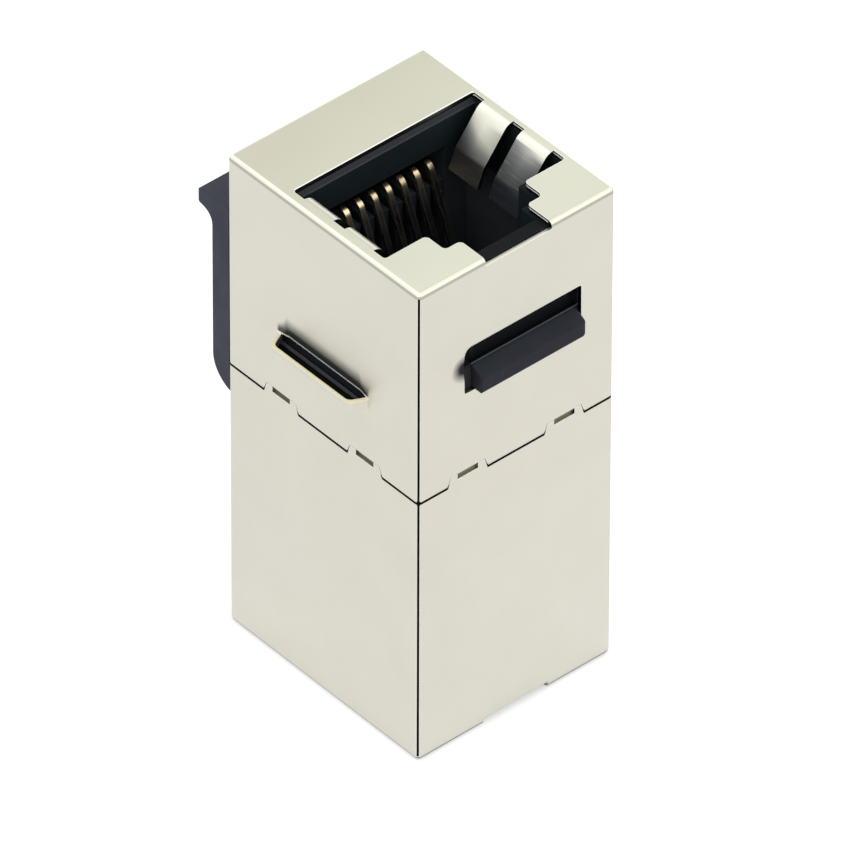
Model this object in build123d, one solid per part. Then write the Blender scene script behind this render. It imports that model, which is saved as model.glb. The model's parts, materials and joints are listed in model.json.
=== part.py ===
from build123d import *
import math
import os

# An inline coupler for shielded network cables: two sockets back to back in two folded metal shells
# X runs across the sockets, Y from the plug latch side to the contact side, Z from the rear end to the front
# The rear end stands on the ground, with its middle at the origin
# Every sub-part is drawn by its depth behind its own end plate, and the front ones are then mirrored

# Outside of the closed shell
body_width = 14.3
body_height = 16.1
body_length = 33.8

# Folded sheet of both shells
sheet = 0.25
fold_radius = 0.3
corner_slit = 0.13
seam_offset = 2.0
seam_gap = 0.14
shell_clearance = 0.05

# How far a cutting solid runs past what it cuts
cut_margin = 1.0

# Port opening in the end plates, with the two steps and the slot of the plug latch
port_side_strip = 0.6
port_offset = 0.1
port_top = 3.27
port_height = 7.67
key_width = 7.1
key_drop = 1.55
latch_width = 4.8
latch_wall_drop = 0.45
port_corner_radius = 0.3
port_end_radius = 0.2

# Sprung earthing fingers, two on each side of the port
finger_gap = 0.95
finger_bend_radius = 0.7
finger_slope = 38.0
finger_knee_depth = 2.3
finger_knee_radius = 0.6
finger_tip_slope = 21.0
finger_depth = 3.55

# Tabs of the rear shell that lock into notches of the front shell
tab_spacing = 7.06
tab_base = 2.92
tab_top = 2.45
tab_height = 0.58
tab_clearance = 0.02
tab_recess_width = 1.5
tab_recess_depth = 0.38
tab_recess_floor = 0.1

# Panel stops lanced out of both sides of the front shell, their sheet stretched thinner than the rest
stop_depth = 10.1
stop_length = 7.75
stop_bulge = 1.0
stop_reach = 0.8
stop_lip_reach = 0.06
stop_wall = 0.15
stop_end = 0.6
stop_corner_radius = 0.45
dimple_reach = 0.8
dimple_dip = 0.2
dimple_end = 0.9

# Fixed hook on the latch side and its window in the front shell
hook_window_offset = 0.45
hook_window_width = 8.5
hook_window_depth = 5.65
hook_window_reach = 3.2
hook_window_radius = 0.5
hook_window_small_radius = 0.15
hook_near_gap = 0.7
hook_far_gap = 0.08
hook_slope_depth = 7.2
hook_slope_length = 0.55
hook_height = 0.63
hook_end_gap = 0.07
hook_corner_radius = 0.3
hook_groove_depth = 0.35
dent_reach = 0.95
dent_dip = 0.06
dent_depth = 7.0

# Sprung lever on the contact side
lever_width = 10.4
lever_gap = 2.18
lever_thickness = 1.4
lever_head_depth = 6.37
lever_head_length = 1.0
lever_head_height = 1.16
lever_head_slope = 0.3
lever_root_depth = 19.57
lever_root_thickness = 1.5
lever_bend_radius = 2.0
lever_inner_radius = 0.5
lever_throat_radius = 0.9
lever_edge_radius = 0.15
lever_notch_clearance = 0.25

# Plug cavity in the plastic housings
cavity_side_wall = 0.9
cavity_inset = 0.15
cavity_lead_in = 0.25
cavity_depth = 12.3
latch_channel_depth = 10.0
latch_floor = 0.75
finger_pocket_inset = 0.1
finger_pocket_margin = 0.8
chamber_start = 2.5
housing_overlap = 1.33

# Contacts
contact_count = 8
contact_pitch = 1.02
contact_width = 0.35
contact_thickness = 0.25
contact_front = 3.45
contact_bend_height = 3.8
contact_bend_radius = 0.6
contact_slope = 23.0
contact_end_gap = 0.4
pin_jog = 1.6
pin_jog_start_share = 0.2
pin_jog_share = 0.36
pin_jog_radius = 0.35
pin_stick_out = 0.5

# Inserts that hold the contacts
slot_clearance = 0.08
bar_web = 0.33
bar_start = 4.75
insert_side_margin = 0.55
plate_thickness = 1.0
plate_side_margin = 1.55
plate_top_margin = 0.85
plate_bottom_margin = 0.8
comb_drop = 3.77
comb_thickness = 0.9
insert_clearance = 0.05
insert_rim = 1.0

# Circuit board between the two sockets
board_thickness = 1.6
board_side_wall = 0.6
board_end_wall = 0.75
board_hole_radius = 0.3

# Places worked out from the sizes above
half_width = body_width / 2
half_height = body_height / 2
port_half = half_width - port_side_strip
port_bottom = port_top - port_height
front_shell_length = body_length / 2 - seam_offset
key_bottom = port_bottom - key_drop
rear_shell_length = body_length - front_shell_length - seam_gap
housing_half_width = half_width - sheet - shell_clearance
housing_half_height = half_height - sheet - shell_clearance
housing_front = sheet + shell_clearance
front_housing_length = lever_root_depth + housing_overlap
rear_housing_length = body_length - front_housing_length - shell_clearance
cavity_half = housing_half_width - cavity_side_wall
cavity_top = port_top - cavity_lead_in
cavity_bottom = port_bottom + cavity_inset
contact_span = (contact_count - 1) * contact_pitch
contact_bend_depth = contact_front + contact_thickness / 2 + contact_bend_radius
leg_height = contact_bend_height + contact_bend_radius
slot_half = contact_width / 2 + slot_clearance
bar_half = contact_span / 2 + contact_width / 2 + insert_side_margin
bar_top = leg_height + contact_thickness / 2 + slot_clearance + bar_web
plate_half = bar_half + plate_side_margin - insert_side_margin
plate_top = bar_top + plate_top_margin
plate_bottom = cavity_bottom - plate_bottom_margin
comb_start = cavity_depth - comb_thickness
board_near = (body_length - board_thickness) / 2
board_far = board_near + board_thickness
pin_room_start = cavity_depth + insert_clearance + plate_thickness
pin_room = board_near - pin_room_start
pin_jog_depth = pin_room_start + pin_jog_start_share * pin_room
pin_jog_end = pin_jog_depth + pin_jog_share * pin_room
board_half_width = housing_half_width - board_side_wall
board_half_height = housing_half_height - board_end_wall


# A box from its lowest to its highest corner
def block(low, high):
    size = [b - a for a, b in zip(low, high)]
    middle = [(a + b) / 2 for a, b in zip(low, high)]
    return Pos(*middle) * Box(*size)


# A flat outline with a corner radius for each point
def outline(points, radii):
    return make_face(FilletPolyline(*points, radius=radii, close=True))


# The same side view drawn across X or across Y, made solid over a span
def across_x(face, low, high):
    return Pos(low, 0, 0) * extrude(Plane.YZ * face, amount=high - low)


def across_y(face, low, high):
    return Pos(0, high, 0) * extrude(Plane.XZ * face, amount=high - low)


# Turns what is drawn by depth behind the front plate into its place at the front end
def at_front(shape):
    return Pos(0, 0, body_length) * mirror(shape, about=Plane.XY)


def contact_places():
    return [(k - (contact_count - 1) / 2) * contact_pitch for k in range(contact_count)]


# Outline of the port in an end plate, seen from outside; the latch slot runs past the fold
def port_outline():
    key_half = key_width / 2
    latch_half = latch_width / 2
    below = -half_height - sheet
    right = [(port_half, port_top), (port_half, port_bottom), (key_half, port_bottom)]
    right += [(key_half, key_bottom), (latch_half, key_bottom), (latch_half, below)]
    left = [(-x, y) for x, y in reversed(right)]
    points = [(x + port_offset, y) for x, y in right + left]
    corner = port_corner_radius
    end = port_end_radius
    radii = [end, end, corner, corner, corner, 0]
    return outline(points, radii + radii[::-1])


# One earthing finger: bent down from the plate edge, then bent again near its tip
def earthing_finger(middle, width):
    turn = math.radians(90 - finger_slope)
    corner = finger_bend_radius * math.tan(turn / 2)
    knee = corner + (finger_knee_depth - sheet / 2) * math.tan(math.radians(finger_slope))
    tip = knee + (finger_depth - finger_knee_depth) * math.tan(math.radians(finger_tip_slope))
    root = (port_half + sheet, middle, sheet / 2)
    path = FilletPolyline(
        root,
        (port_half - corner, middle, sheet / 2),
        (port_half - knee, middle, finger_knee_depth),
        (port_half - tip, middle, finger_depth),
        radius=[finger_bend_radius, finger_knee_radius],
    )
    section = Plane(origin=root, x_dir=(0, 1, 0), z_dir=(-1, 0, 0)) * Rectangle(width, sheet)
    return sweep(section, path=path)


# A shell half: end plate, four walls folded from it, open slits along its corners, port and fingers
def folded_can(length):
    can = block((-half_width, -half_height, 0), (half_width, half_height, length))
    rim = can.edges().group_by(Axis.Z)[-1]
    can = fillet(can.edges() - rim, fold_radius)
    can -= block(
        (sheet - half_width, sheet - half_height, sheet),
        (half_width - sheet, half_height - sheet, length + sheet),
    )
    slit = Pos(0, 0, fold_radius + length / 2) * Box(2 * sheet + cut_margin, corner_slit, length)
    for side in (-1, 1):
        for end in (-1, 1):
            can -= Pos(side * half_width, end * half_height, 0) * Rot(0, 0, 45 * side * end) * slit
    can -= extrude(port_outline(), amount=latch_wall_drop)
    width = (port_height - 3 * finger_gap) / 2
    for step in range(2):
        middle = port_top - finger_gap - width / 2 - step * (width + finger_gap)
        finger = earthing_finger(middle, width)
        can += Pos(port_offset, 0, 0) * finger
        can += Pos(port_offset, 0, 0) * mirror(finger, about=Plane.YZ)
    return can


# Side view of a tab, widest at the seam; grown by a clearance it is the notch that takes the tab
def tab_outline(base, top, height, below):
    points = [(-base / 2, -below), (-base / 2, 0), (-top / 2, height)]
    points += [(-x, y) for x, y in reversed(points)]
    return make_face(Polyline(*points, close=True))


# Puts a solid drawn on the wall facing -Y on each of the three walls that carry tabs
def on_tab_walls(solid, inward):
    copies = []
    for place in (-tab_spacing / 2, tab_spacing / 2):
        copies.append(Pos(place, inward - half_height, 0) * solid)
        for side in (-1, 1):
            wall = Pos(side * (half_width - inward), place, 0)
            copies.append(wall * Rot(0, 0, 90 * side) * solid)
    return copies


def seam_tabs():
    rise = tab_height + seam_gap
    tab = across_y(tab_outline(tab_base, tab_top, rise, sheet), 0, sheet)
    recess = block(
        (-tab_recess_width / 2, -sheet, rise - tab_recess_depth),
        (tab_recess_width / 2, sheet - tab_recess_floor, rise + sheet),
    )
    return on_tab_walls(tab - recess, 0)


def seam_notches():
    grown = 2 * tab_clearance
    face = tab_outline(tab_base + grown, tab_top + grown, tab_height + tab_clearance, sheet)
    return on_tab_walls(across_y(face, -sheet, 2 * sheet), 0)


# Plan of the lanced panel stop, seen along Z, for its outer skin or, with a margin, its hollow
def stop_plan(margin):
    half = stop_length / 2 - margin
    bulge = half_width + stop_bulge - margin
    foot = half_width - sheet - margin
    slope = (stop_bulge + sheet) * stop_end / stop_bulge
    points = [(foot, -half - stop_end + slope), (bulge, -half + stop_end)]
    points += [(x, -y) for x, y in reversed(points)]
    points[0] = (foot, -half)
    points[3] = (foot, half)
    return outline(points, [0, stop_corner_radius, stop_corner_radius, 0])


# Side view of the panel stop: open at its mouth, curved back to the wall behind it
def stop_side(margin):
    foot = half_width - sheet - margin
    bulge = half_width + stop_bulge - margin
    end = stop_depth + stop_reach - margin
    lip = stop_depth + stop_lip_reach
    lines = [Line((foot, stop_depth), (bulge, stop_depth)), Line((bulge, stop_depth), (bulge, lip))]
    lines.append(Spline((bulge, lip), (half_width - margin, end), tangents=[(0, 1), (-1, 0.3)]))
    lines.append(Line((half_width - margin, end), (foot, end)))
    lines.append(Line((foot, end), (foot, stop_depth)))
    return make_face(Wire(lines))


def stop_body(margin):
    plan = Pos(0, 0, stop_depth) * extrude(stop_plan(margin), amount=stop_reach)
    return plan & across_y(stop_side(margin), -stop_length, stop_length)


# The sheet above the mouth dips inwards and runs out flat at both ends
def dimple():
    near = stop_depth - dimple_reach
    half = stop_length / 2
    sections = []
    for place, share in ((-half, 0), (dimple_end - half, 1), (half - dimple_end, 1), (half, 0)):
        dip = dimple_dip * share
        inner = half_width - sheet
        points = [(inner, near), (half_width, near), (half_width - dip, stop_depth), (inner - dip, stop_depth)]
        corners = [(x, place, z) for x, z in points]
        sections.append(make_face(Polyline(*corners, close=True)))
    return loft(sections, ruled=True)


def add_panel_stops(can):
    hollow = stop_body(stop_wall)
    patch = block(
        (half_width - 2 * sheet, -stop_length / 2, stop_depth - dimple_reach),
        (half_width + sheet, stop_length / 2, stop_depth),
    )
    skin = stop_body(0)
    dipped = dimple()
    for turned in (lambda solid: solid, lambda solid: mirror(solid, about=Plane.YZ)):
        can += turned(skin)
        can -= turned(hollow)
        can -= turned(patch)
        can += turned(dipped)
    return can


def hook_window():
    left = hook_window_offset - hook_window_width / 2
    right = left + hook_window_width
    far = hook_window_depth + hook_window_reach
    points = [(left, hook_window_depth), (right, hook_window_depth), (right, far), (left, far)]
    radii = [hook_window_radius] + 3 * [hook_window_small_radius]
    return across_y(outline(points, radii), -half_height - sheet, sheet - half_height + shell_clearance)


# The shallow round dent in the sheet beside the window
def window_dent():
    radius = (dent_reach ** 2 + dent_dip ** 2) / (2 * dent_dip)
    left = hook_window_offset - hook_window_width / 2
    return Pos(left, dent_dip - half_height - radius, dent_depth) * Sphere(radius)


def front_shell():
    can = folded_can(front_shell_length)
    can = add_panel_stops(can)
    can -= hook_window()
    can -= window_dent()
    for notch in seam_notches():
        can -= Pos(0, 0, front_shell_length) * mirror(notch, about=Plane.XY)
    return at_front(can)


# Open notch in the rear shell that lets it slide past the root of the lever
def lever_notch():
    half = lever_width / 2 + lever_notch_clearance
    floor = body_length - lever_root_depth - lever_notch_clearance
    return block((-half, half_height - 2 * sheet, floor), (half, half_height + sheet, body_length))


def rear_shell():
    can = folded_can(rear_shell_length) - lever_notch()
    for tab in seam_tabs():
        can += Pos(0, 0, rear_shell_length) * tab
    return can


# Room for the plug: the cavity, pockets for the fingers, the stepped latch channel and the lead-in
def plug_room():
    room = block((-cavity_half, cavity_bottom, 0), (cavity_half, cavity_top, cavity_depth))
    pocket = port_half - finger_pocket_inset
    low = port_offset - pocket
    high = port_offset + pocket
    pocket_end = finger_depth + finger_pocket_margin
    room += block((low, cavity_bottom, 0), (high, cavity_top, pocket_end))
    key_half = key_width / 2 - cavity_inset
    latch_half = latch_width / 2 - cavity_inset
    floor = latch_floor - housing_half_height
    room += block((-key_half, key_bottom + cavity_inset, 0), (key_half, 0, latch_channel_depth))
    room += block((-latch_half, floor, 0), (latch_half, 0, latch_channel_depth))
    bevel = [(cavity_bottom, 0), (port_top, 0), (port_top, housing_front)]
    bevel += [(cavity_top, housing_front + cavity_lead_in), (cavity_bottom, housing_front + cavity_lead_in)]
    room += across_x(make_face(Polyline(*bevel, close=True)), low, high)
    return room


# Room behind the plug: the slot of the contact bar and the seat of the insert plate
def insert_room(far):
    half = bar_half + insert_clearance
    room = block((-half, 0, chamber_start), (half, bar_top + insert_clearance, far))
    seat = plate_half + insert_clearance
    low = plate_bottom - insert_clearance
    room += block((-seat, low, cavity_depth), (seat, plate_top + insert_clearance, far))
    return room


def board_room(near, far):
    wide = board_half_width + insert_clearance
    high = board_half_height + insert_clearance
    return block((-wide, -high, near), (wide, high, far))


# Fixed hook: a ramp, a flat outer face and a square end, over a groove for the edge of the panel
def fixed_hook():
    wall = -housing_half_height
    crest = -half_height - hook_height
    ramp_end = hook_slope_depth + hook_slope_length
    end = hook_window_depth + hook_window_reach - hook_end_gap
    points = [(wall + sheet, hook_slope_depth), (wall, hook_slope_depth), (crest, ramp_end)]
    points += [(crest, end), (wall + sheet, end)]
    left = hook_window_offset - hook_window_width / 2 + hook_near_gap
    right = hook_window_offset + hook_window_width / 2 - hook_far_gap
    hook = across_x(outline(points, [0, 0, hook_end_gap, hook_end_gap, 0]), left, right)
    corner = hook.edges().filter_by(Axis.Y).group_by(Axis.X)[-1].sort_by(Axis.Z)[-1]
    return fillet(corner, hook_corner_radius)


def hook_groove():
    left = hook_window_offset - hook_window_width / 2
    right = left + hook_window_width
    wall = -housing_half_height
    return block((left, wall - sheet, hook_window_depth), (right, wall + hook_groove_depth, hook_slope_depth))


# Sprung lever: a root that leaves the housing, a round bend, the arm and its catch
def sprung_lever():
    inner = half_height + lever_gap
    outer = inner + lever_thickness
    crest = outer + lever_head_height
    wall = housing_half_height - board_end_wall / 2
    near = lever_head_depth
    catch = near + lever_head_length
    root = lever_root_depth - lever_root_thickness
    points = [(wall, lever_root_depth), (outer, lever_root_depth), (outer, catch + lever_head_slope)]
    points += [(crest, catch), (crest, near), (inner, near), (inner, root), (wall, root)]
    edge = lever_edge_radius
    radii = [0, lever_bend_radius, lever_throat_radius, edge, edge, edge, lever_inner_radius, 0]
    return across_x(outline(points, radii), -lever_width / 2, lever_width / 2)


def stop_pocket():
    near = stop_depth - dimple_reach - shell_clearance
    low = half_width - sheet - dimple_dip - 2 * shell_clearance
    half = stop_length / 2 + shell_clearance
    return block((low, -half, near), (half_width, half, stop_depth + shell_clearance))


def front_housing():
    body = block(
        (-housing_half_width, -housing_half_height, housing_front),
        (housing_half_width, housing_half_height, front_housing_length),
    )
    body -= plug_room()
    body -= insert_room(board_near)
    body -= board_room(board_near - insert_clearance, front_housing_length + cut_margin)
    body -= hook_groove()
    body -= stop_pocket()
    body -= mirror(stop_pocket(), about=Plane.YZ)
    body += fixed_hook()
    body += sprung_lever()
    return at_front(body)


# The rear housing has a nose that reaches into the front housing and clamps the board
def rear_housing():
    body = block(
        (-housing_half_width, -housing_half_height, housing_front),
        (housing_half_width, housing_half_height, rear_housing_length),
    )
    nose_end = board_near - insert_clearance
    nose = (board_half_width, board_half_height)
    body += block((-nose[0], -nose[1], rear_housing_length), (nose[0], nose[1], nose_end))
    body -= plug_room()
    body -= insert_room(board_near)
    return body


# The insert: a slotted bar over the contacts, a comb for their free ends, and a plate with the leg holes
def contact_insert():
    slot_top = leg_height + contact_thickness / 2 + slot_clearance
    comb_low = cavity_top - comb_drop
    body = block((-bar_half, cavity_top, bar_start), (bar_half, bar_top, cavity_depth + insert_clearance))
    body += block((-bar_half, comb_low, comb_start), (bar_half, cavity_top, cavity_depth + insert_clearance))
    near = cavity_depth + insert_clearance
    rim_end = board_near - insert_clearance
    body += block((-plate_half, plate_bottom, near), (plate_half, plate_top, rim_end))
    body -= block(
        (insert_rim - plate_half, plate_bottom + insert_rim, near + plate_thickness),
        (plate_half - insert_rim, plate_top - insert_rim / 2, rim_end + insert_rim),
    )
    hole_half = contact_thickness / 2 + slot_clearance
    for place in contact_places():
        low = place - slot_half
        high = place + slot_half
        body -= block((low, 0, bar_start - cut_margin), (high, slot_top, near))
        body -= block((low, comb_low - cut_margin, comb_start - cut_margin), (high, slot_top, near))
        body -= block((low, leg_height - hole_half, near - cut_margin), (high, leg_height + hole_half, rim_end))
    return body


# A stamped contact: pin, leg, round bend at the front and the sloping spring that the plug presses
def contact(place, jog):
    slope = math.radians(contact_slope)
    radius = contact_bend_radius
    middle = contact_bend_depth
    tangent = (contact_bend_height - radius * math.cos(slope), middle - radius * math.sin(slope))
    end_depth = cavity_depth - contact_end_gap
    run = end_depth - tangent[1]
    tip = (tangent[0] - run * math.tan(slope), end_depth)
    pin_depth = board_far + pin_stick_out
    points = [(leg_height - jog, pin_depth)]
    if jog:
        points += [(leg_height - jog, pin_jog_end), (leg_height, pin_jog_depth)]
    points.append((leg_height, middle))
    corners = [(place, y, z) for y, z in points]
    if jog:
        leg = FilletPolyline(*corners, radius=pin_jog_radius)
    else:
        leg = Line(*corners)
    front = (place, contact_bend_height, middle - radius)
    bend = ThreePointArc((place, leg_height, middle), front, (place, *tangent))
    spring = Line((place, *tangent), (place, *tip))
    path = Wire([*leg.edges(), bend, spring])
    section = Plane(origin=corners[0], x_dir=(1, 0, 0), z_dir=(0, 0, -1))
    return sweep(section * Rectangle(contact_width, contact_thickness), path=path)


# The board lies across the coupler; each socket has its own row of plated holes
def circuit_board():
    board = block(
        (-board_half_width, -board_half_height, board_near),
        (board_half_width, board_half_height, board_far),
    )
    hole = Cylinder(board_hole_radius, 2 * board_thickness)
    for place in contact_places():
        for row in (leg_height, leg_height - pin_jog):
            board -= Pos(place, row, body_length / 2) * hole
    return board


def build_all():
    parts = {
        "front_shell": front_shell(),
        "rear_shell": rear_shell(),
        "front_housing": front_housing(),
        "rear_housing": rear_housing(),
        "front_contact_insert": at_front(contact_insert()),
        "rear_contact_insert": contact_insert(),
        "circuit_board": circuit_board(),
    }
    for number, place in enumerate(contact_places(), start=1):
        parts[f"front_contact_{number}"] = at_front(contact(place, 0))
        parts[f"rear_contact_{number}"] = contact(place, pin_jog)
    return parts


os.makedirs("parts", exist_ok=True)
for name, shape in build_all().items():
    export_step(shape, f"parts/{name}.step")
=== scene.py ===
import json
import math

import bpy
from mathutils import Matrix, Vector


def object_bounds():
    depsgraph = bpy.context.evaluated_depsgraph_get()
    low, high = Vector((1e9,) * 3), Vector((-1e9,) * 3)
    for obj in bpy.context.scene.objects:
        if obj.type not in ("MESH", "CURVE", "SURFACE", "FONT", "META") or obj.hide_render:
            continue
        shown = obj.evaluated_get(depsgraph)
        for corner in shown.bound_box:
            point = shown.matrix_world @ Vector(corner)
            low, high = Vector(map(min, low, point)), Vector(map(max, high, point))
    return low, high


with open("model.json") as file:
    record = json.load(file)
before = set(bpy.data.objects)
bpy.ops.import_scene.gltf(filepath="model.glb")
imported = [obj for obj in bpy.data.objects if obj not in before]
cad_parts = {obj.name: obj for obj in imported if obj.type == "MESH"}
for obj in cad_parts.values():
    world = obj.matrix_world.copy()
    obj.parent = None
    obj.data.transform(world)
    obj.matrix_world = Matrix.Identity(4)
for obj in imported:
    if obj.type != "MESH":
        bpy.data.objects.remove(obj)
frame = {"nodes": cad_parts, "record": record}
cad_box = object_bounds()

MM = 0.001
PICTURE_SIDE = 847
SENSOR_WIDTH = 36.0

# Where the photograph was taken from, found from the corners of the shell
VIEW_AZIMUTH = -41.060
VIEW_ELEVATION = 40.419
VIEW_ROLL = 0.163
VIEW_DISTANCE = 1109.2 * MM
VIEW_RIGHT = 0.169 * MM
VIEW_UP = -1.016 * MM
FOCAL_PIXELS = 20000

# Lamps: name, place, size and power, all aimed at the middle of the object
LAMP_AIM = (0.0, 0.0, 0.017)
LAMPS = (
    ("key", (-0.35, -0.25, 0.45), 0.80, 0.8),
    ("fill", (0.35, -0.35, 0.25), 0.60, 0.4),
    ("back", (0.10, 0.45, 0.35), 0.60, 0.3),
)
WORLD_LIGHT = 0.75
FLOOR_GLOW_SEEN = 0.45
FLOOR_GLOW_MIRRORED = 0.20
FLOOR_SIDE = 3.0
FLOOR_DROP = 0.02

# Colours of the metal sheet
NICKEL = (0.790, 0.768, 0.675)
# Painted light: the sheet is painted lighter towards the foot
NICKEL_LOW = (0.820, 0.803, 0.722)
# Painted light: the end plates are darker than the walls and lighter towards the near corner
PLATE_FAR = (0.550, 0.540, 0.435)
PLATE_NEAR = (0.650, 0.660, 0.540)
NICKEL_WORN = (0.620, 0.600, 0.520)
# Painted highlights on the folds
FOLD_HIGHLIGHT = (0.930, 0.925, 0.800)
FOLD_HIGHLIGHT_LIT = (0.830, 0.820, 0.670)
# Painted highlight on cut edges, rims, burrs, sheared faces and scratches
HIGHLIGHT_WHITE = (1.000, 0.990, 0.930)
# Painted highlight on the lip of the panel stop
LIP_HIGHLIGHT = (1.000, 0.930, 0.640)
SHEET_SHADE = (0.008, 0.008, 0.008)
FLANK_SHADE = (0.055, 0.056, 0.068)
DIP_SHADE = (0.031, 0.034, 0.033)
# Painted shade inside the mouth of the panel stop
HOLLOW_SHADE = (0.160, 0.160, 0.190)
DENT_SHADE = (0.032, 0.030, 0.034)
# Painted shade on the floors of the recesses
RECESS_SHADE = (0.225, 0.217, 0.154)
# Painted reflection and shade on the earthing fingers
FINGER_CREAM = (0.960, 0.950, 0.820)
FINGER_GREY = (0.930, 0.960, 0.950)
FIRST_TIP_SHADE = (0.235, 0.228, 0.230)
SECOND_TIP_SHADE = (0.125, 0.145, 0.185)
# Painted shade along the foot
FOOT_SHADE = (0.080, 0.080, 0.084)

# Colours of the plastic, the contacts, the board and the ground
CAVITY_BLACK = (0.0155, 0.0230, 0.0260)
# Painted light deep in the cavity
CAVITY_DEEP_LIT = (0.0680, 0.0780, 0.0900)
# Painted shade in grooves, gaps and on shelves
GROOVE_SHADE = (0.0040, 0.0055, 0.0065)
# Painted light on the hook, its upward slope and the lower gap beside it
HOOK_LIT_BLACK = (0.0255, 0.0260, 0.0355)
HOOK_RAMP_LIT = (0.0275, 0.0312, 0.0392)
HOOK_SIDE_LIT = (0.0380, 0.0380, 0.0440)
# Painted light on the lever
LEVER_LIT_SLATE = (0.0620, 0.0660, 0.0910)
# Painted light on the lead-in slope
LEAD_IN_LIT = (0.0350, 0.0380, 0.0430)
INSERT_BLACK = (0.0340, 0.0410, 0.0460)
# Random mottling and scuffs, and painted highlights along the plastic's edges
SCUFF_AND_HIGHLIGHT_GREY = (0.1100, 0.1200, 0.1350)
GOLD = (1.00, 0.84, 0.56)
GOLD_DULL = (0.62, 0.46, 0.26)
# Painted shade on the contacts' legs and behind their bends
GOLD_LEG_SHADE = (0.270, 0.262, 0.225)
GOLD_BEHIND_SHADE = (0.170, 0.140, 0.085)
# Painted highlight along the contacts' edges
GOLD_EDGE_HIGHLIGHT = (0.480, 0.480, 0.420)
BOARD_GREEN = (0.015, 0.110, 0.045)
BOARD_LIGHT = (0.020, 0.150, 0.060)
FLOOR_WHITE = (0.80, 0.80, 0.80)
WHITE = (1.0, 1.0, 1.0)

# Painted reflection and shade on a finger: its brightness from its bend to its knee
FINGER_SHADE_GREYS = (
    (0.00, 1.00),
    (0.07, 0.75),
    (0.12, 0.55),
    (0.19, 0.40),
    (0.27, 0.27),
    (0.34, 0.20),
    (0.47, 0.125),
    (0.62, 0.09),
)

# Places on the object in millimetres, the same as in the solids
LENGTH = 33.8
HALF_WIDTH = 7.15
HALF_HEIGHT = 8.05
SHEET = 0.25
INNER_WIDTH = HALF_WIDTH - SHEET
INNER_HEIGHT = HALF_HEIGHT - SHEET
KNEE_DEPTH = 2.30
FINGER_DEPTH = 3.55
FINGER_START = 2.32
FINGER_STEP = 3.36
FINGER_WIDTH = 2.41
STOP_DEPTH = 10.1
DENT_PLACE = (-3.8, -8.05, 26.8)
DENT_REACH = 0.95
SEAM_LOW = 18.76
SEAM_HIGH = 18.90
PORT_TOP = 3.27
HOOK_LEFT = -3.1
HOOK_SLOPE_DEPTH = 7.2
GROOVE_FLOOR = -7.7

# Where the colours of the plates and walls change, in millimetres
PLATE_SLANT = 0.25
PLATE_FAR_PLACE = 8.0
PLATE_NEAR_PLACE = -6.0
NICKEL_LOW_END = 18.0

# How far the masks of single features reach, in millimetres
DIP_HALF = 3.87
DIP_REACH = 1.68
DIP_DARK = 0.56
DIP_END = 0.80
DENT_DARK = 0.35
POCKET_END = 11.5
RECESS_LOW = 19.10
RECESS_HIGH = 19.60
RECESS_SUNK = 0.15
BURR_START = -6.38
WINDOW_SIDE = 5.5
GROOVE_DEPTH = 5.4
CAVITY_SIDE = 6.5
CAVITY_HIGH = 6.4
CONTACT_LEG_DEPTH = 3.6
CONTACT_BACK = 3.7

# How much narrower the shade above the panel stop is at its ends
DIP_END_NARROWING = 2.2

# The painted shade on the first finger comes later than on the second, and is weaker on its near side
FIRST_SHIFT = -0.262
SECOND_SHIFT = 0.078
FIRST_DIMMING = 0.42
SECOND_DIMMING = 0.58

# Rays that the rounded edges and the open share of a place are found with
MASK_SAMPLES = 6


# Short way to add a node, set its inputs and its options
def add_node(tree, kind, inputs=None, **options):
    made = tree.nodes.new(kind)
    for name, value in options.items():
        setattr(made, name, value)
    for name, value in (inputs or {}).items():
        put(tree, made.inputs[name], value)
    return made


def put(tree, socket, value):
    if isinstance(value, bpy.types.NodeSocket):
        tree.links.new(value, socket)
    elif socket.type == "RGBA" and len(value) == 3:
        socket.default_value = (*value, 1.0)
    else:
        socket.default_value = value


def empty_material(name):
    material = bpy.data.materials.new(name)
    material.use_nodes = True
    tree = material.node_tree
    tree.nodes.clear()
    output = add_node(tree, "ShaderNodeOutputMaterial")
    return material, tree, output.inputs["Surface"]


def new_material(name):
    material, tree, surface = empty_material(name)
    shader = add_node(tree, "ShaderNodeBsdfPrincipled")
    tree.links.new(shader.outputs["BSDF"], surface)
    return material, tree, shader


def maths(tree, operation, *values):
    made = tree.nodes.new("ShaderNodeMath")
    made.operation = operation
    for socket, value in zip(made.inputs, values):
        put(tree, socket, value)
    return made.outputs[0]


def product(tree, *values):
    total = values[0]
    for value in values[1:]:
        total = maths(tree, "MULTIPLY", total, value)
    return total


def largest(tree, *values):
    most = values[0]
    for value in values[1:]:
        most = maths(tree, "MAXIMUM", most, value)
    return most


def without(tree, value):
    return maths(tree, "SUBTRACT", 1.0, value)


def place_of(tree):
    return add_node(tree, "ShaderNodeTexCoord").outputs["Object"]


def noise(tree, where, scale, detail=3.0, roughness=0.5):
    inputs = {"Vector": where, "Scale": scale, "Detail": detail, "Roughness": roughness}
    return add_node(tree, "ShaderNodeTexNoise", inputs).outputs["Fac"]


def stretched(tree, where, factors, turn=(0.0, 0.0, 0.0)):
    made = add_node(tree, "ShaderNodeMapping", {"Vector": where, "Scale": factors, "Rotation": turn})
    return made.outputs["Vector"]


# Ramp of a value from 0 at one place to 1 at another
def ramp(tree, value, start, end, at_start=0.0, at_end=1.0, way="LINEAR"):
    inputs = {"Value": value, "From Min": start, "From Max": end, "To Min": at_start, "To Max": at_end}
    return add_node(tree, "ShaderNodeMapRange", inputs, interpolation_type=way).outputs["Result"]


# 1 between the two middle places and 0 beyond the outer two
def band(tree, value, rise_start, rise_end, fall_start, fall_end):
    rise = ramp(tree, value, rise_start, rise_end)
    fall = ramp(tree, value, fall_end, fall_start)
    return product(tree, rise, fall)


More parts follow.
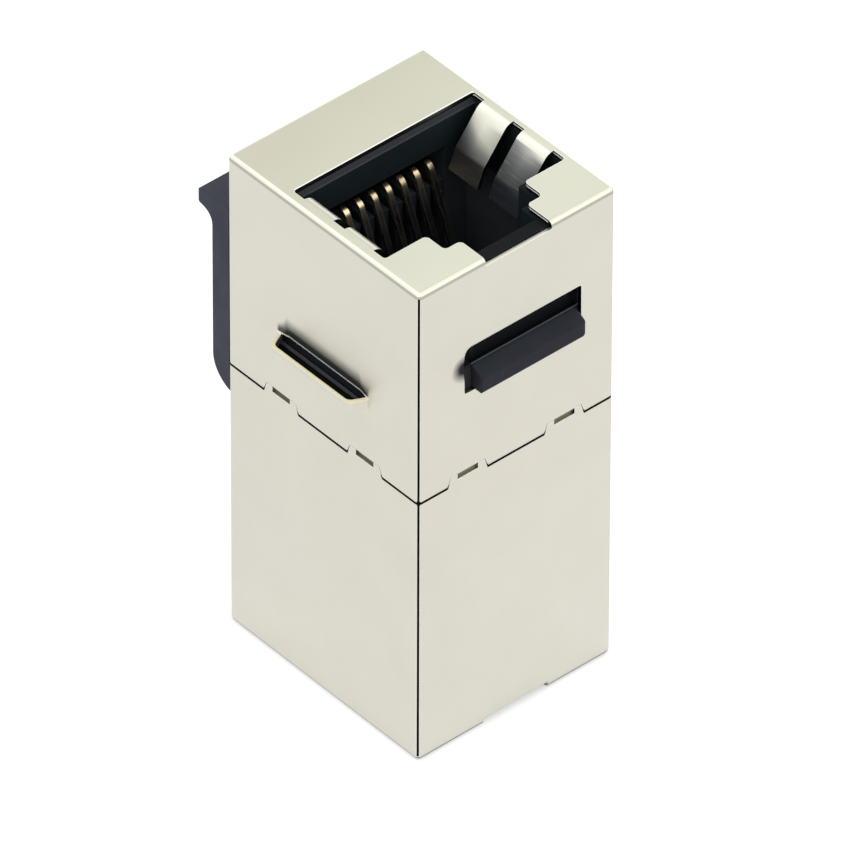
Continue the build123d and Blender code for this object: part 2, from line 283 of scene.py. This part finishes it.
def blend_colours(tree, share, first, second, way="MIX"):
    made = add_node(tree, "ShaderNodeMix", data_type="RGBA", blend_type=way)
    for socket, value in ((made.inputs[0], share), (made.inputs[6], first), (made.inputs[7], second)):
        put(tree, socket, value)
    return made.outputs[2]


# Greys along a value from 0 to 1
def grey_ramp(tree, value, stops):
    made = add_node(tree, "ShaderNodeValToRGB", {"Fac": value})
    marks = made.color_ramp.elements
    while len(marks) < len(stops):
        marks.new(1.0)
    for mark, (place, grey) in zip(marks, stops):
        mark.position = place
        mark.color = (grey, grey, grey, 1.0)
    return made.outputs["Color"]


# Normals as if every edge had this radius
def rounded_normal(tree, radius):
    return add_node(tree, "ShaderNodeBevel", {"Radius": radius}, samples=MASK_SAMPLES).outputs["Normal"]


# 1 along sharp edges and 0 on flat faces
def edge_mask(tree, radius):
    rounded = rounded_normal(tree, radius)
    flat = add_node(tree, "ShaderNodeNewGeometry").outputs["Normal"]
    together = add_node(tree, "ShaderNodeVectorMath", {0: rounded, 1: flat}, operation="DOT_PRODUCT")
    return ramp(tree, together.outputs["Value"], 0.995, 0.85)


# 1 in the open and 0 deep in slits and corners
def openness(tree, reach):
    inputs = {"Distance": reach}
    return add_node(tree, "ShaderNodeAmbientOcclusion", inputs, samples=MASK_SAMPLES).outputs["AO"]


def bump(tree, height, strength, distance, normal=None):
    inputs = {"Height": height, "Strength": strength, "Distance": distance}
    if normal is not None:
        inputs["Normal"] = normal
    return add_node(tree, "ShaderNodeBump", inputs).outputs["Normal"]


# A colour that is painted on mask by mask, with what the masks are made of: the place in millimetres,
# its depth behind the nearer end, its distance from the middle planes, and the way that the face looks
class Coat:
    def __init__(self, tree, colour):
        normal = add_node(tree, "ShaderNodeNewGeometry").outputs["Normal"]
        ways = add_node(tree, "ShaderNodeSeparateXYZ", {"Vector": normal}).outputs
        self.tree = tree
        self.colour = colour
        self.where = place_of(tree)
        places = add_node(tree, "ShaderNodeSeparateXYZ", {"Vector": self.where}).outputs
        self.x, self.y, self.z = (product(tree, places[axis], 1 / MM) for axis in "XYZ")
        self.depth = maths(tree, "MINIMUM", self.z, maths(tree, "SUBTRACT", LENGTH, self.z))
        self.side = maths(tree, "ABSOLUTE", self.x)
        self.high = maths(tree, "ABSOLUTE", self.y)
        self.nx, self.ny, self.nz = (ways[axis] for axis in "XYZ")
        self.tilt = maths(tree, "ABSOLUTE", self.nz)
        self.sideways = maths(tree, "ABSOLUTE", self.ny)
        self.facing_in = product(tree, self.nx, maths(tree, "SIGN", self.x), -1.0)
        self.front = ramp(tree, self.z, LENGTH / 2, LENGTH / 2 + 1.0)
        # Masks that the painted shade of slits and corners leaves alone, and masks that take away the
        # metal's gloss
        self.unshaded = []
        self.dull = []

    def paint(self, share, colour):
        self.colour = blend_colours(self.tree, share, self.colour, colour)


# Plates and walls: worn patches, painted light, painted highlights on cut edges and painted shade at the
# seam
def paint_faces(coat, clouds):
    tree = coat.tree
    away = maths(tree, "SUBTRACT", coat.y, product(tree, coat.x, PLATE_SLANT))
    plate = blend_colours(tree, ramp(tree, away, PLATE_FAR_PLACE, PLATE_NEAR_PLACE), PLATE_FAR, PLATE_NEAR)
    coat.paint(ramp(tree, coat.z, 0.0, NICKEL_LOW_END), NICKEL)
    coat.paint(ramp(tree, coat.tilt, 0.5, 0.95), plate)
    coat.paint(ramp(tree, clouds, 0.35, 0.75, 0.0, 0.10), NICKEL_WORN)
    edges = edge_mask(tree, 0.09 * MM)
    coat.paint(product(tree, edges, 0.9), HIGHLIGHT_WHITE)
    by_seam = band(tree, coat.z, SEAM_LOW - 0.12, SEAM_LOW - 0.10, SEAM_HIGH + 0.10, SEAM_HIGH + 0.12)
    coat.paint(product(tree, ramp(tree, edges, 0.1, 0.6), by_seam, 0.95), SHEET_SHADE)


# Painted highlights on the folds of the front plate, painted shade in a faint line below and along the foot
def paint_folds(coat):
    tree = coat.tree
    rounded = band(tree, coat.tilt, 0.40, 0.60, 0.95, 0.99)
    folded = product(tree, coat.front, rounded, ramp(tree, coat.depth, 0.38, 0.31))
    lit = ramp(tree, coat.sideways, 0.30, 0.50)
    coat.paint(folded, blend_colours(tree, lit, FOLD_HIGHLIGHT, FOLD_HIGHLIGHT_LIT))
    crease = product(tree, band(tree, coat.depth, 0.12, 0.18, 0.30, 0.40), ramp(tree, coat.tilt, 0.60, 0.40))
    coat.paint(product(tree, coat.front, crease, 0.35), SHEET_SHADE)
    foot = product(tree, ramp(tree, coat.z, 0.28, 0.20), ramp(tree, lit, 0.0, 1.0, 0.55, 0.90))
    coat.paint(foot, FOOT_SHADE)
    coat.unshaded.append(ramp(tree, coat.z, 0.55, 0.45))


# Painted reflection and shade on the earthing fingers: near white at the bend and dark at the knee, sooner
# on the second finger
def finger_light_and_shade(coat):
    tree = coat.tree
    along = maths(tree, "DIVIDE", maths(tree, "SUBTRACT", FINGER_START, coat.y), FINGER_STEP)
    across = product(tree, maths(tree, "FRACT", along), FINGER_STEP / FINGER_WIDTH)
    second = ramp(tree, along, 0.85, 0.95)
    slanted = maths(tree, "SUBTRACT", coat.depth, product(tree, across, 0.5))
    share = maths(tree, "DIVIDE", slanted, FINGER_DEPTH)
    share = maths(tree, "ADD", share, ramp(tree, across, 0.5, 0.0, 0.0, 0.06))
    share = maths(tree, "ADD", share, ramp(tree, second, 0.0, 1.0, FIRST_SHIFT, SECOND_SHIFT))
    tint = blend_colours(tree, ramp(tree, share, 0.0, 0.35), FINGER_CREAM, FINGER_GREY)
    bright = blend_colours(tree, 1.0, grey_ramp(tree, share, FINGER_SHADE_GREYS), tint, "MULTIPLY")
    near_side = product(tree, ramp(tree, across, 0.45, 0.95), ramp(tree, coat.depth, 0.40, 0.65))
    dimming = product(tree, near_side, ramp(tree, second, 0.0, 1.0, FIRST_DIMMING, SECOND_DIMMING))
    bright = blend_colours(tree, dimming, bright, SHEET_SHADE)
    tip = blend_colours(tree, second, FIRST_TIP_SHADE, SECOND_TIP_SHADE)
    past_knee = ramp(tree, coat.depth, KNEE_DEPTH - 0.10, KNEE_DEPTH + 0.12)
    return blend_colours(tree, past_knee, bright, tip)


def paint_fingers(coat):
    tree = coat.tree
    inside = product(
        tree,
        ramp(tree, coat.side, INNER_WIDTH - 0.15, INNER_WIDTH - 0.30),
        ramp(tree, coat.high, INNER_HEIGHT - 0.20, INNER_HEIGHT - 0.30),
        ramp(tree, coat.depth, SHEET + 0.02, SHEET + 0.08),
    )
    scratched = stretched(tree, coat.where, (1.0, 0.10, 1.0), (0.6, 0.0, 0.5))
    scratches = ramp(tree, noise(tree, scratched, 5000.0), 0.50, 0.75, 0.0, 0.08)
    coat.paint(inside, blend_colours(tree, scratches, finger_light_and_shade(coat), HIGHLIGHT_WHITE))
    coat.unshaded.append(inside)


# Panel stop: the sheet dips to its mouth in a soft shade that is narrow at both ends
def paint_stop_dip(coat):
    tree = coat.tree
    above_mouth = ramp(tree, coat.depth, STOP_DEPTH + 0.02, STOP_DEPTH)
    skin = ramp(tree, coat.side, INNER_WIDTH - 0.05, INNER_WIDTH)
    within = ramp(tree, coat.high, DIP_HALF, DIP_HALF - 0.15)
    narrowing = ramp(tree, coat.high, DIP_HALF, DIP_HALF - DIP_END, DIP_END_NARROWING, 1.0)
    height = product(tree, maths(tree, "SUBTRACT", STOP_DEPTH, coat.depth), narrowing)
    fall = ramp(tree, height, DIP_REACH, DIP_DARK, way="SMOOTHSTEP")
    fall = product(tree, coat.front, within, skin, fall, above_mouth)
    coat.paint(fall, DIP_SHADE)
    sunk = product(
        tree,
        coat.front,
        skin,
        ramp(tree, coat.side, HALF_WIDTH - 0.01, HALF_WIDTH - 0.12),
        ramp(tree, coat.high, DIP_HALF + 0.1, DIP_HALF),
        ramp(tree, coat.depth, STOP_DEPTH - 1.2, STOP_DEPTH - 1.0),
        above_mouth,
    )
    coat.unshaded.append(fall)
    coat.dull.extend((fall, product(tree, sunk, 0.85)))


# Painted highlight on the cut edge of the sheet above the mouth
def paint_stop_rim(coat):
    tree = coat.tree
    rim = product(
        tree,
        coat.front,
        ramp(tree, coat.high, DIP_HALF + 0.02, DIP_HALF),
        ramp(tree, coat.side, INNER_WIDTH - 0.30, INNER_WIDTH - 0.25),
        band(tree, coat.depth, STOP_DEPTH - 0.16, STOP_DEPTH - 0.13, STOP_DEPTH, STOP_DEPTH + 0.02),
    )
    coat.paint(rim, HIGHLIGHT_WHITE)
    coat.unshaded.append(rim)
    coat.dull.append(rim)


# Mouth of the panel stop: painted shade in the hollow and on the lip's inner slope, behind a painted
# highlight on the lip
def paint_stop_mouth(coat):
    tree = coat.tree
    behind = ramp(tree, coat.depth, STOP_DEPTH - 0.6, STOP_DEPTH - 0.1)
    hollow = product(tree, coat.front, ramp(tree, coat.facing_in, 0.05, 0.20), behind)
    coat.paint(hollow, HOLLOW_SHADE)
    below_mouth = ramp(tree, coat.depth, STOP_DEPTH + 0.02, STOP_DEPTH + 0.04)
    outer = ramp(tree, coat.side, HALF_WIDTH + 0.01, HALF_WIDTH + 0.03)
    floor = product(tree, outer, ramp(tree, coat.nz, 0.10, 0.25), below_mouth)
    coat.paint(floor, SHEET_SHADE)
    pocket = product(
        tree,
        coat.front,
        ramp(tree, coat.high, DIP_HALF + 0.1, DIP_HALF),
        ramp(tree, coat.side, HALF_WIDTH - 0.02, HALF_WIDTH - 0.05),
        below_mouth,
        ramp(tree, coat.depth, POCKET_END, POCKET_END - 0.1),
    )
    coat.paint(pocket, HOLLOW_SHADE)
    lip = product(tree, outer, ramp(tree, coat.depth, STOP_DEPTH + 0.09, STOP_DEPTH + 0.06))
    lip = product(tree, lip, without(tree, floor))
    coat.paint(lip, LIP_HIGHLIGHT)
    coat.unshaded.extend((hollow, pocket, lip))
    coat.dull.extend((product(tree, hollow, 0.6), product(tree, pocket, 0.6), product(tree, lip, 0.85)))


# Painted shade of the small dent beside the window of the hook
def paint_dent_shade(coat):
    tree = coat.tree
    middle = [MM * v for v in DENT_PLACE]
    away = add_node(tree, "ShaderNodeVectorMath", {0: coat.where, 1: middle}, operation="DISTANCE")
    coat.paint(ramp(tree, away.outputs["Value"], DENT_REACH * MM, DENT_DARK * MM), DENT_SHADE)


# Painted shade on the thinned floors of the recesses in the tabs
def paint_recesses(coat):
    tree = coat.tree
    from_side = maths(tree, "SUBTRACT", HALF_WIDTH, coat.side)
    from_top = maths(tree, "SUBTRACT", HALF_HEIGHT, coat.high)
    sunk = maths(tree, "MINIMUM", from_side, from_top)
    recess = product(
        tree,
        band(tree, sunk, RECESS_SUNK - 0.05, RECESS_SUNK - 0.02, RECESS_SUNK + 0.02, RECESS_SUNK + 0.05),
        band(tree, coat.z, RECESS_LOW - 0.05, RECESS_LOW, RECESS_HIGH, RECESS_HIGH + 0.10),
    )
    coat.paint(recess, RECESS_SHADE)
    coat.unshaded.append(recess)


# Sheared faces: painted shade with a painted highlight stripe along the port, painted shade at the window,
# plain where the foot is notched
def paint_sheared(coat):
    tree = coat.tree
    across = ramp(tree, coat.facing_in, 0.5, 0.8)
    upright = ramp(tree, coat.tilt, 0.12, 0.04)
    cut = product(tree, upright, across, ramp(tree, coat.depth, SHEET + 0.02, SHEET))
    striped = largest(tree, coat.front, ramp(tree, coat.high, INNER_HEIGHT - 0.20, INNER_HEIGHT - 0.30))
    sheared = product(tree, cut, striped)
    stripe = band(tree, coat.depth, 0.09, 0.11, 0.19, 0.21)
    coat.paint(sheared, blend_colours(tree, stripe, SHEET_SHADE, HIGHLIGHT_WHITE))
    low = ramp(tree, coat.y, 0.10 - INNER_HEIGHT, 0.05 - INNER_HEIGHT)
    window = product(tree, coat.front, across, low, ramp(tree, coat.side, WINDOW_SIDE, WINDOW_SIDE - 0.1))
    coat.paint(window, SHEET_SHADE)
    coat.unshaded.append(sheared)
    coat.dull.extend((product(tree, sheared, stripe), product(tree, cut, without(tree, striped))))


# Painted shade on the flanks of the fingers, and a painted highlight on the burr along the upper edge of the
# port
def paint_port_edges(coat):
    tree = coat.tree
    flank = product(
        tree,
        ramp(tree, coat.sideways, 0.6, 0.8),
        ramp(tree, coat.high, INNER_HEIGHT - 0.20, INNER_HEIGHT - 0.30),
        ramp(tree, coat.side, INNER_WIDTH, INNER_WIDTH - 0.10),
        0.9,
    )
    coat.paint(flank, FLANK_SHADE)
    burr = product(
        tree,
        band(tree, coat.y, PORT_TOP - 0.02, PORT_TOP, PORT_TOP + 0.06, PORT_TOP + 0.10),
        ramp(tree, coat.x, BURR_START, BURR_START + 0.08),
        ramp(tree, coat.side, INNER_WIDTH - 0.20, INNER_WIDTH - 0.30),
        ramp(tree, coat.depth, 0.10, 0.05),
        ramp(tree, coat.tilt, 0.90, 0.97),
    )
    coat.paint(burr, HIGHLIGHT_WHITE)
    coat.dull.append(product(tree, burr, 0.3))


# Painted shade in the slits between the walls and in the seam between the shells
def paint_gaps(coat):
    tree = coat.tree
    slantwise = product(tree, coat.facing_in, coat.ny, maths(tree, "SIGN", coat.y))
    slit = ramp(tree, slantwise, 0.30, 0.45)
    seam = band(tree, coat.z, SEAM_LOW - 0.04, SEAM_LOW - 0.02, SEAM_HIGH + 0.02, SEAM_HIGH + 0.04)
    seam = product(tree, seam, ramp(tree, coat.tilt, 0.8, 0.9))
    coat.paint(largest(tree, seam, slit), SHEET_SHADE)


# Satin nickel plated sheet: cloudy gloss, painted highlights on folds and cut edges, painted shade in slits
# and corners
def nickel_material():
    material, tree, shader = new_material("nickel_sheet")
    coat = Coat(tree, NICKEL_LOW)
    clouds = noise(tree, coat.where, 260.0, detail=4.0)
    paint_faces(coat, clouds)
    paint_folds(coat)
    paint_fingers(coat)
    paint_stop_dip(coat)
    paint_stop_rim(coat)
    paint_stop_mouth(coat)
    paint_dent_shade(coat)
    paint_recesses(coat)
    paint_sheared(coat)
    paint_port_edges(coat)
    paint_gaps(coat)
    # Painted shade in slits and corners, apart from the masks that keep their colour
    exposed = largest(tree, ramp(tree, openness(tree, 0.35 * MM), 0.30, 0.55), *coat.unshaded)
    grain = noise(tree, coat.where, 9000.0, detail=2.0)
    streaks = noise(tree, stretched(tree, coat.where, (900.0, 900.0, 26.0)), 6.0)
    fine = bump(tree, grain, 0.10, 0.010 * MM, rounded_normal(tree, 0.05 * MM))
    put(tree, shader.inputs["Base Color"], blend_colours(tree, exposed, SHEET_SHADE, coat.colour))
    put(tree, shader.inputs["Metallic"], without(tree, largest(tree, *coat.dull)))
    put(tree, shader.inputs["Roughness"], ramp(tree, clouds, 0.3, 0.7, 0.33, 0.40))
    put(tree, shader.inputs["Normal"], bump(tree, streaks, 0.12, 0.010 * MM, fine))
    return material


# Moulded plastic with a fine spark-eroded texture, random scuffs and painted highlights along the edges
def plastic_finish(tree, shader, colour, edge_highlight_share, lines=0.0, round_radius=0.06 * MM):
    where = place_of(tree)
    clouds = noise(tree, where, 330.0)
    pebbles = noise(tree, where, 14000.0, detail=2.0, roughness=0.6)
    scuffs = noise(tree, stretched(tree, where, (1.0, 0.15, 0.15)), 4000.0)
    mottled = blend_colours(tree, ramp(tree, clouds, 0.35, 0.75, 0.0, 0.25), colour, SCUFF_AND_HIGHLIGHT_GREY, "SOFT_LIGHT")
    scuffed = blend_colours(tree, ramp(tree, scuffs, 0.62, 0.80, 0.0, 0.10), mottled, SCUFF_AND_HIGHLIGHT_GREY)
    edges = largest(tree, product(tree, edge_mask(tree, 0.05 * MM), edge_highlight_share), lines)
    soft = rounded_normal(tree, round_radius)
    put(tree, shader.inputs["Base Color"], blend_colours(tree, edges, scuffed, SCUFF_AND_HIGHLIGHT_GREY))
    put(tree, shader.inputs["Roughness"], ramp(tree, clouds, 0.3, 0.7, 0.42, 0.52))
    put(tree, shader.inputs["Normal"], bump(tree, pebbles, 0.18, 0.008 * MM, soft))


# Plug cavity: painted light in its depth and on the lead-in slope, painted shade on the narrow shelves
def paint_cavity(coat):
    tree = coat.tree
    within = product(
        tree,
        ramp(tree, coat.side, CAVITY_SIDE, CAVITY_SIDE - 0.2),
        ramp(tree, coat.high, CAVITY_HIGH, CAVITY_HIGH - 0.2),
    )
    coat.paint(product(tree, within, ramp(tree, coat.depth, 2.5, 7.0)), CAVITY_DEEP_LIT)
    slope = product(
        tree,
        band(tree, coat.tilt, 0.55, 0.65, 0.76, 0.85),
        ramp(tree, coat.depth, 1.2, 0.8),
        ramp(tree, coat.y, -6.6, -6.2),
    )
    coat.paint(slope, LEAD_IN_LIT)
    sill = product(tree, ramp(tree, coat.y, -6.9, -7.0), ramp(tree, coat.depth, 2.0, 1.5))
    shelves = largest(tree, sill, ramp(tree, coat.depth, 0.60, 0.50))
    coat.paint(product(tree, ramp(tree, coat.nz, 0.85, 0.95), shelves), GROOVE_SHADE)


# Fixed hook: both slopes in painted light, the upward one lighter, and painted shade in the groove above it
# and the gap beside it
def paint_hook(coat, hook):
    tree = coat.tree
    coat.paint(hook, blend_colours(tree, ramp(tree, coat.nz, 0.3, 0.7), HOOK_LIT_BLACK, HOOK_RAMP_LIT))
    groove = product(
        tree,
        ramp(tree, coat.depth, GROOVE_DEPTH, GROOVE_DEPTH + 0.10),
        ramp(tree, coat.depth, HOOK_SLOPE_DEPTH + 0.06, HOOK_SLOPE_DEPTH + 0.02),
        band(tree, coat.y, GROOVE_FLOOR - 0.01, GROOVE_FLOOR + 0.01, -7.20, -7.10),
    )
    coat.paint(groove, GROOVE_SHADE)
    beside = product(tree, ramp(tree, coat.x, HOOK_LEFT, HOOK_LEFT - 0.02), ramp(tree, coat.y, -7.20, -7.30))
    # The gap beside the hook: painted shade above, painted light lower down
    coat.paint(beside, blend_colours(tree, ramp(tree, coat.depth, 7.0, 7.5), GROOVE_SHADE, HOOK_SIDE_LIT))


# Painted highlight lines where the hook's slope begins and along the shelf above the contacts
def housing_highlights(coat):
    tree = coat.tree
    slope_start = band(
        tree,
        coat.depth,
        HOOK_SLOPE_DEPTH - 0.02,
        HOOK_SLOPE_DEPTH - 0.01,
        HOOK_SLOPE_DEPTH + 0.01,
        HOOK_SLOPE_DEPTH + 0.03,
    )
    on_hook = product(
        tree,
        ramp(tree, coat.y, GROOVE_FLOOR + 0.01, GROOVE_FLOOR - 0.03),
        ramp(tree, coat.x, HOOK_LEFT, HOOK_LEFT + 0.02),
    )
    on_shelf = band(tree, coat.y, 2.90, 3.00, PORT_TOP - 0.02, PORT_TOP + 0.03)
    shelf_line = product(tree, band(tree, coat.depth, 0.50, 0.53, 0.57, 0.61), on_shelf, 0.4)
    return largest(tree, product(tree, slope_start, on_hook), shelf_line)


# The housings are black inside, painted lighter at the lead-in and the hook, and slate on the lever, as
# painted light
def housing_material():
    material, tree, shader = new_material("black_housing")
    shader.inputs["Specular IOR Level"].default_value = 0.08
    coat = Coat(tree, CAVITY_BLACK)
    hook = ramp(tree, coat.y, 0.26 - HALF_HEIGHT, 0.10 - HALF_HEIGHT)
    lever = ramp(tree, coat.y, HALF_HEIGHT + 0.1, HALF_HEIGHT + 0.5)
    paint_cavity(coat)
    paint_hook(coat, hook)
    coat.paint(lever, LEVER_LIT_SLATE)
    outside = largest(tree, hook, lever)
    rounding = ramp(tree, hook, 0.0, 1.0, 0.06 * MM, 0.20 * MM)
    edge_highlight_share = maths(tree, "ADD", ramp(tree, outside, 0.0, 1.0, 0.04, 0.10), product(tree, lever, 0.18))
    plastic_finish(tree, shader, coat.colour, edge_highlight_share, housing_highlights(coat), rounding)
    return material


def insert_material():
    material, tree, shader = new_material("black_insert")
    shader.inputs["Specular IOR Level"].default_value = 0.10
    plastic_finish(tree, shader, INSERT_BLACK, 0.10)
    return material


# Gold plated spring contacts: bright at the bend, painted shade on the legs and behind the bend, painted
# edge highlights
def gold_material():
    material, tree, shader = new_material("gold_contact")
    coat = Coat(tree, GOLD)
    clouds = noise(tree, coat.where, 700.0, detail=2.0)
    drawn = noise(tree, stretched(tree, coat.where, (1.0, 1.0, 0.05)), 9000.0, detail=2.0)
    behind = ramp(tree, coat.y, CONTACT_BACK - 0.08, CONTACT_BACK + 0.08)
    leg = ramp(tree, coat.depth, CONTACT_LEG_DEPTH, CONTACT_LEG_DEPTH + 1.0)
    coat.paint(ramp(tree, clouds, 0.40, 0.65, 0.15, 0.65), GOLD_DULL)
    coat.paint(leg, GOLD_LEG_SHADE)
    coat.paint(behind, GOLD_BEHIND_SHADE)
    seen = product(tree, without(tree, behind), ramp(tree, coat.depth, 9.0, 4.5))
    edges = product(tree, edge_mask(tree, 0.05 * MM), seen, 0.8)
    coat.paint(edges, GOLD_EDGE_HIGHLIGHT)
    dull = product(tree, edges, largest(tree, leg, behind), 0.8)
    put(tree, shader.inputs["Base Color"], coat.colour)
    put(tree, shader.inputs["Metallic"], without(tree, dull))
    put(tree, shader.inputs["Roughness"], ramp(tree, clouds, 0.3, 0.7, 0.26, 0.38))
    put(tree, shader.inputs["Normal"], bump(tree, drawn, 0.15, 0.005 * MM))
    return material


# Circuit board: woven laminate under green solder mask
def board_material():
    material, tree, shader = new_material("circuit_board")
    where = place_of(tree)
    weave = add_node(tree, "ShaderNodeTexWave", {"Vector": where, "Scale": 900.0, "Distortion": 1.0})
    clouds = noise(tree, where, 500.0)
    base = blend_colours(tree, ramp(tree, clouds, 0.3, 0.7, 0.0, 0.5), BOARD_GREEN, BOARD_LIGHT)
    put(tree, shader.inputs["Base Color"], base)
    put(tree, shader.inputs["Roughness"], ramp(tree, clouds, 0.3, 0.7, 0.25, 0.35))
    put(tree, shader.inputs["Normal"], bump(tree, weave.outputs["Fac"], 0.1, 0.01 * MM))
    return material


def dress_nodes():
    finishes = {
        "nickel_sheet": nickel_material(),
        "black_housing": housing_material(),
        "black_insert": insert_material(),
        "gold_contact": gold_material(),
        "circuit_board": board_material(),
    }
    for entry in frame["record"]["subparts"]:
        thing = frame["nodes"][entry["node"]]
        thing.data.materials.clear()
        thing.data.materials.append(finishes[entry["material_slot"]])


# Pale ground: lit by the lamps, with enough light of its own to look white beside the object
def floor_material():
    material, tree, surface = empty_material("floor")
    matt = add_node(tree, "ShaderNodeBsdfDiffuse", {"Color": FLOOR_WHITE})
    path = add_node(tree, "ShaderNodeLightPath")
    seen = product(tree, path.outputs["Is Camera Ray"], FLOOR_GLOW_SEEN)
    mirrored = product(tree, path.outputs["Is Glossy Ray"], FLOOR_GLOW_MIRRORED)
    level = maths(tree, "ADD", seen, mirrored)
    glow = add_node(tree, "ShaderNodeEmission", {"Color": WHITE, "Strength": level})
    both = add_node(tree, "ShaderNodeAddShader", {0: matt.outputs[0], 1: glow.outputs[0]})
    tree.links.new(both.outputs[0], surface)
    return material


def make_floor():
    low = -FLOOR_DROP * MM
    signs = ((-1, -1), (1, -1), (1, 1), (-1, 1))
    corners = [(FLOOR_SIDE * across, FLOOR_SIDE * along, low) for across, along in signs]
    mesh = bpy.data.meshes.new("floor")
    mesh.from_pydata(corners, [], [(0, 1, 2, 3)])
    mesh.materials.append(floor_material())
    floor = bpy.data.objects.new("floor", mesh)
    bpy.context.scene.collection.objects.link(floor)


# White surroundings for the camera and for reflections, softer as a light
def make_world():
    world = bpy.data.worlds.new("studio")
    bpy.context.scene.world = world
    world.use_nodes = True
    tree = world.node_tree
    tree.nodes.clear()
    output = add_node(tree, "ShaderNodeOutputWorld")
    path = add_node(tree, "ShaderNodeLightPath")
    rays = ("Is Camera Ray", "Is Glossy Ray", "Is Transmission Ray")
    seen = largest(tree, *(path.outputs[ray] for ray in rays))
    strength = ramp(tree, seen, 0.0, 1.0, WORLD_LIGHT, 1.0)
    light = add_node(tree, "ShaderNodeBackground", {"Color": WHITE, "Strength": strength})
    tree.links.new(light.outputs[0], output.inputs["Surface"])


def make_lights():
    for name, place, size, power in LAMPS:
        light = bpy.data.lights.new(name, "AREA")
        light.shape = "SQUARE"
        light.size = size
        light.energy = power
        lamp = bpy.data.objects.new(name, light)
        lamp.location = place
        lamp.rotation_euler = (Vector(LAMP_AIM) - Vector(place)).to_track_quat("-Z", "Y").to_euler()
        bpy.context.scene.collection.objects.link(lamp)


def make_camera():
    turn, lift, roll = (math.radians(v) for v in (VIEW_AZIMUTH, VIEW_ELEVATION, VIEW_ROLL))
    back = Vector((math.sin(turn) * math.cos(lift), -math.cos(turn) * math.cos(lift), math.sin(lift)))
    level = Vector((0, 0, 1)).cross(back).normalized()
    upright = back.cross(level)
    right = level * math.cos(roll) + upright * math.sin(roll)
    up = upright * math.cos(roll) - level * math.sin(roll)
    low, high = (Vector(corner) for corner in cad_box)
    target = Vector((0, 0, (low.z + high.z) / 2))
    camera = bpy.data.cameras.new("camera")
    camera.sensor_width = SENSOR_WIDTH
    camera.lens = FOCAL_PIXELS / PICTURE_SIDE * SENSOR_WIDTH
    camera.clip_start = 0.01
    camera.clip_end = 20
    view = bpy.data.objects.new("camera", camera)
    axes = Matrix((right, up, back)).transposed().to_4x4()
    place = target + back * VIEW_DISTANCE + right * VIEW_RIGHT + up * VIEW_UP
    view.matrix_world = Matrix.Translation(place) @ axes
    bpy.context.scene.collection.objects.link(view)
    bpy.context.scene.camera = view


dress_nodes()
make_floor()
make_world()
make_lights()
make_camera()
bpy.context.scene.view_settings.view_transform = "Standard"
